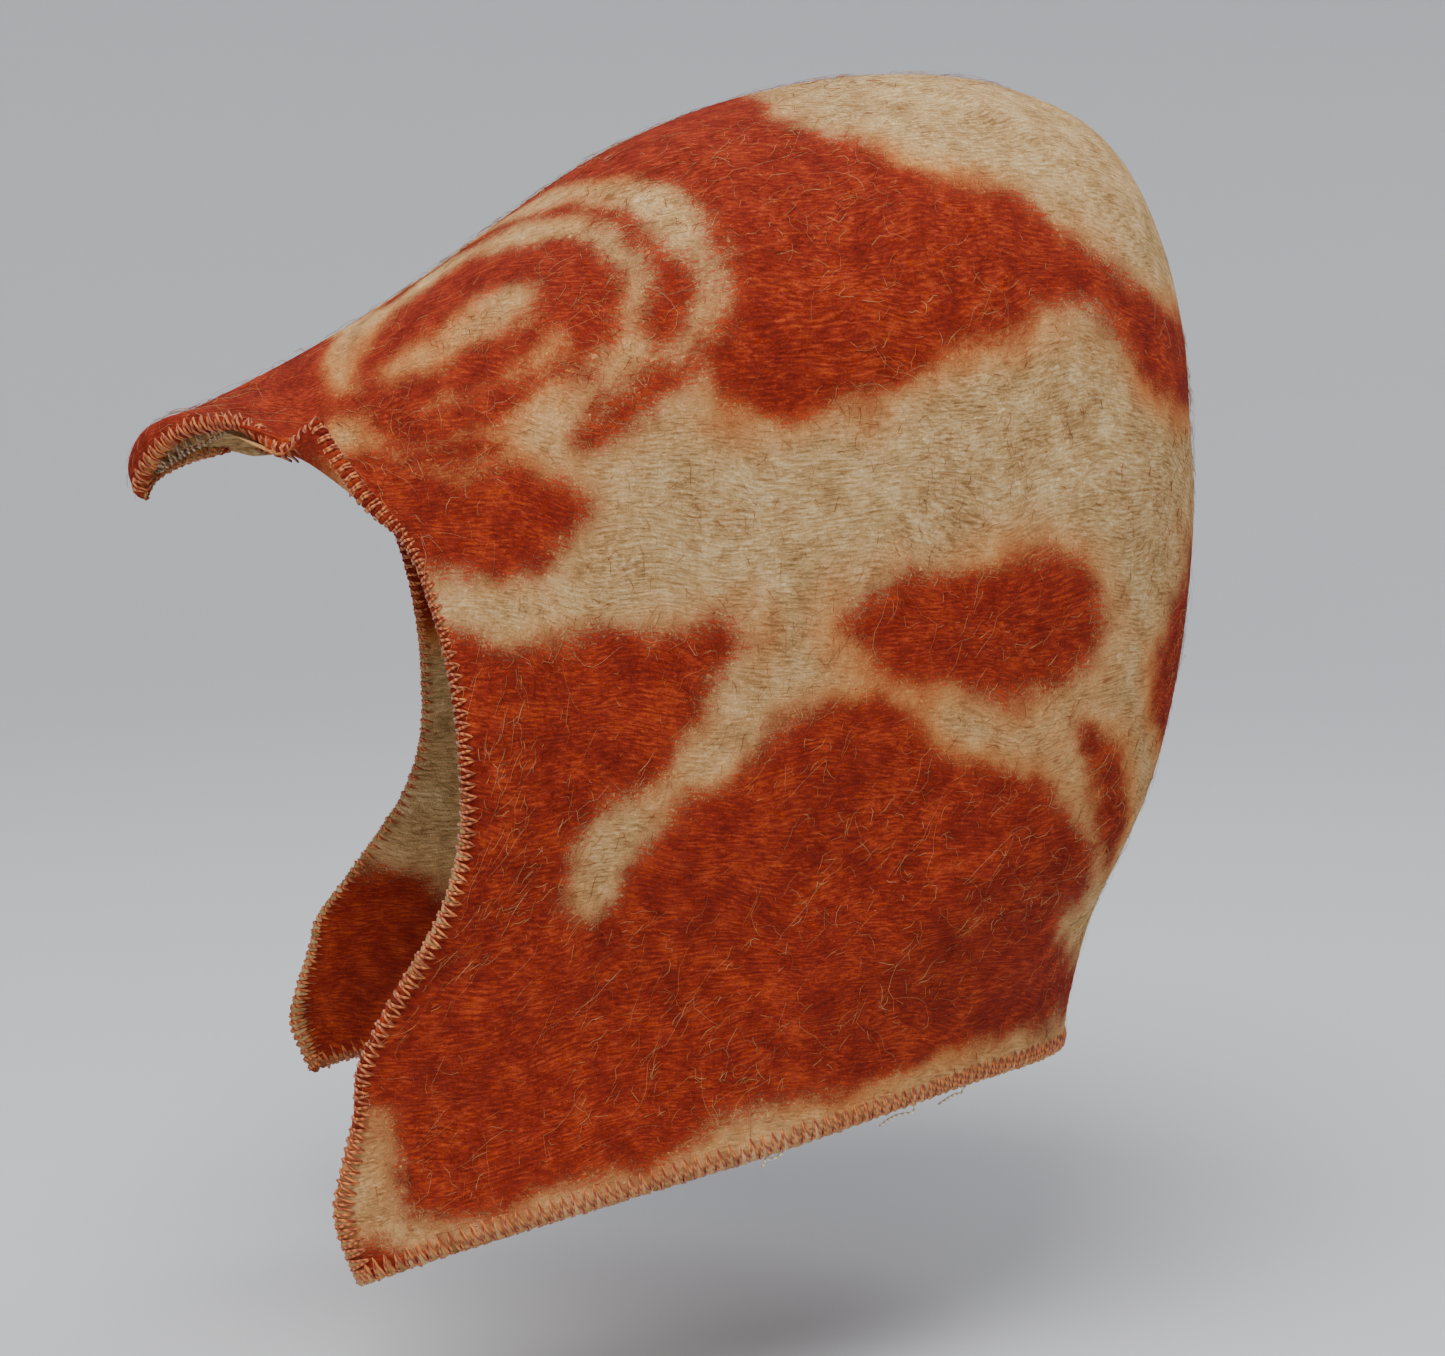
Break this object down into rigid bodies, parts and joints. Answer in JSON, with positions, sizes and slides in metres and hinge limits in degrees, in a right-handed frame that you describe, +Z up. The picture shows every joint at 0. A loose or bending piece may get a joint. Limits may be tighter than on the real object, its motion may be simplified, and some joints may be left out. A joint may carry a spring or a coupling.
{
  "type": "wool felt hood",
  "caption": "Thick wool felt hood with a beak-like peak, an open face, two loose neck flaps, a centre seam and overlocked edges.",
  "frame": {"origin": "inside the top of the crown on the middle plane, where the hood sits on the head", "axes": "+Z up, -Y the way the wearer looks, +X the wearer's left"},
  "size_m": [0.1754, 0.2892, 0.3092],
  "materials": {
    "rust_cream_felt": "milled wool blanket cloth, rust orange and cream, fuzzy",
    "orange_overlock_thread": "orange overlocking thread on the raw edges",
    "cream_seam_thread": "cream overlocking thread on the seam edges inside"
  },
  "bodies": {
    "hood": {"left_panel": "rust_cream_felt", "right_panel": "rust_cream_felt", "left_face_edging": "orange_overlock_thread", "right_face_edging": "orange_overlock_thread", "left_hem_edging": "orange_overlock_thread", "right_hem_edging": "orange_overlock_thread", "centre_seam_thread": "cream_seam_thread"},
    "left_flap": {"left_front_flap": "rust_cream_felt", "left_flap_edging": "orange_overlock_thread"},
    "right_flap": {"right_front_flap": "rust_cream_felt", "right_flap_edging": "orange_overlock_thread"}
  },
  "joints": [
    {"name": "left_flap_swing", "type": "hinge", "parent": "hood", "child": "left_flap", "pos_m": [0.0826, -0.0672, -0.2749], "axis": [-0.0285, -0.5459, 0.8374], "range_deg": [-15, 55], "stiffness_Nm_per_rad": 0.06},
    {"name": "right_flap_swing", "type": "hinge", "parent": "hood", "child": "right_flap", "pos_m": [-0.0826, -0.0672, -0.2749], "axis": [-0.0285, 0.5459, -0.8374], "range_deg": [-15, 55], "stiffness_Nm_per_rad": 0.06}
  ]
}
